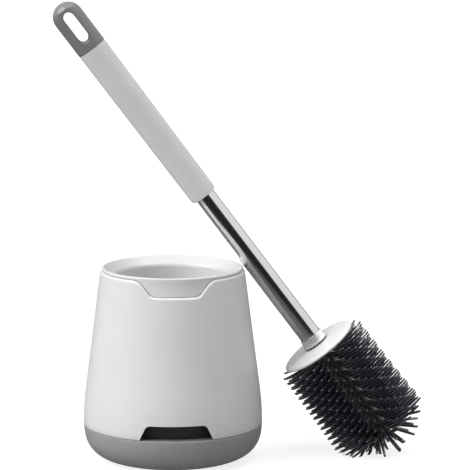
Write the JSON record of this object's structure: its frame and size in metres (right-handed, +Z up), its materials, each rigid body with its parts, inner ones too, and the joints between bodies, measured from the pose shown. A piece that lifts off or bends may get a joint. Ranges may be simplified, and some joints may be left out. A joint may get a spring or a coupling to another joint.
{
  "type": "toilet brush holder",
  "caption": "Tapered white toilet brush holder with grey base and lift-out cup, and its steel-rod brush with soft bristles and tweezers in the handle, leaning on the rim.",
  "frame": {"origin": "middle of the holder's underside, on the surface it stands on", "axes": "+Z up, -Y towards the holder's front with its tab and vent slot, the brush leaning out to +X"},
  "size_m": [0.276, 0.135, 0.3459],
  "materials": {
    "shell_white": "satin white moulding",
    "base_grey": "satin grey moulding",
    "tray_dark": "matt near-black moulding",
    "rubber_dark": "matt",
    "polished_steel": "polished stainless steel",
    "sheath_white": "satin white moulding",
    "grip_grey": "soft-touch light grey",
    "cap_grey": "satin mid grey",
    "plug_dark": "matt",
    "bristle_navy": "satin navy-black soft rubber"
  },
  "bodies": {
    "base": {"base_tray": "base_grey", "drip_tray": "tray_dark", "anti_slip_pad": "rubber_dark"},
    "shell": {"outer_shell": "shell_white"},
    "cup": {"inner_cup": "shell_white"},
    "brush": {"rod_tube": "polished_steel", "tweezer_sheath": "sheath_white", "grip_sleeve": "grip_grey", "rod_collar": "polished_steel", "threaded_plug": "plug_dark", "seal_washer": "rubber_dark"},
    "tweezers": {"end_cap": "cap_grey", "arm_rivet": "polished_steel", "retaining_ring": "rubber_dark"},
    "arm_left": {"tweezer_arm_left": "cap_grey"},
    "arm_right": {"tweezer_arm_right": "cap_grey"},
    "head": {"splash_disk": "shell_white", "head_core": "plug_dark", "bristle_sleeve": "bristle_navy"}
  },
  "joints": [
    {"name": "shell_lift", "type": "slide", "parent": "base", "child": "shell", "axis": [0, 0, 1], "range_m": [0, 0.05]},
    {"name": "cup_lift", "type": "slide", "parent": "shell", "child": "cup", "axis": [0, 0, 1], "range_m": [0, 0.13]},
    {"name": "brush_lift", "type": "slide", "parent": "cup", "child": "brush", "axis": [0, 0, 1], "range_m": [0, 0.15]},
    {"name": "tweezers_pull", "type": "slide", "parent": "brush", "child": "tweezers", "axis": [-0.597, -0.0271, 0.8018], "range_m": [0, 0.195]},
    {"name": "arm_left_squeeze", "type": "hinge", "parent": "tweezers", "child": "arm_left", "pos_m": [-0.05256, -0.00239, 0.2937], "axis": [0.0454, -0.999, 0], "range_deg": [0, 1.05], "stiffness_Nm_per_rad": 2},
    {"name": "arm_right_squeeze", "type": "hinge", "parent": "tweezers", "child": "arm_right", "pos_m": [-0.04407, -0.002, 0.30003], "axis": [0.0454, -0.999, 0], "range_deg": [-1.05, 0], "stiffness_Nm_per_rad": 2},
    {"name": "head_unscrew", "type": "hinge", "parent": "brush", "child": "head", "pos_m": [0.10924, 0.00496, 0.08528], "axis": [-0.597, -0.0271, 0.8018], "range_deg": [0, 720]}
  ],
  "couplings": [
    {"joint": "arm_right_squeeze", "follows": "arm_left_squeeze", "ratio": -1}
  ]
}
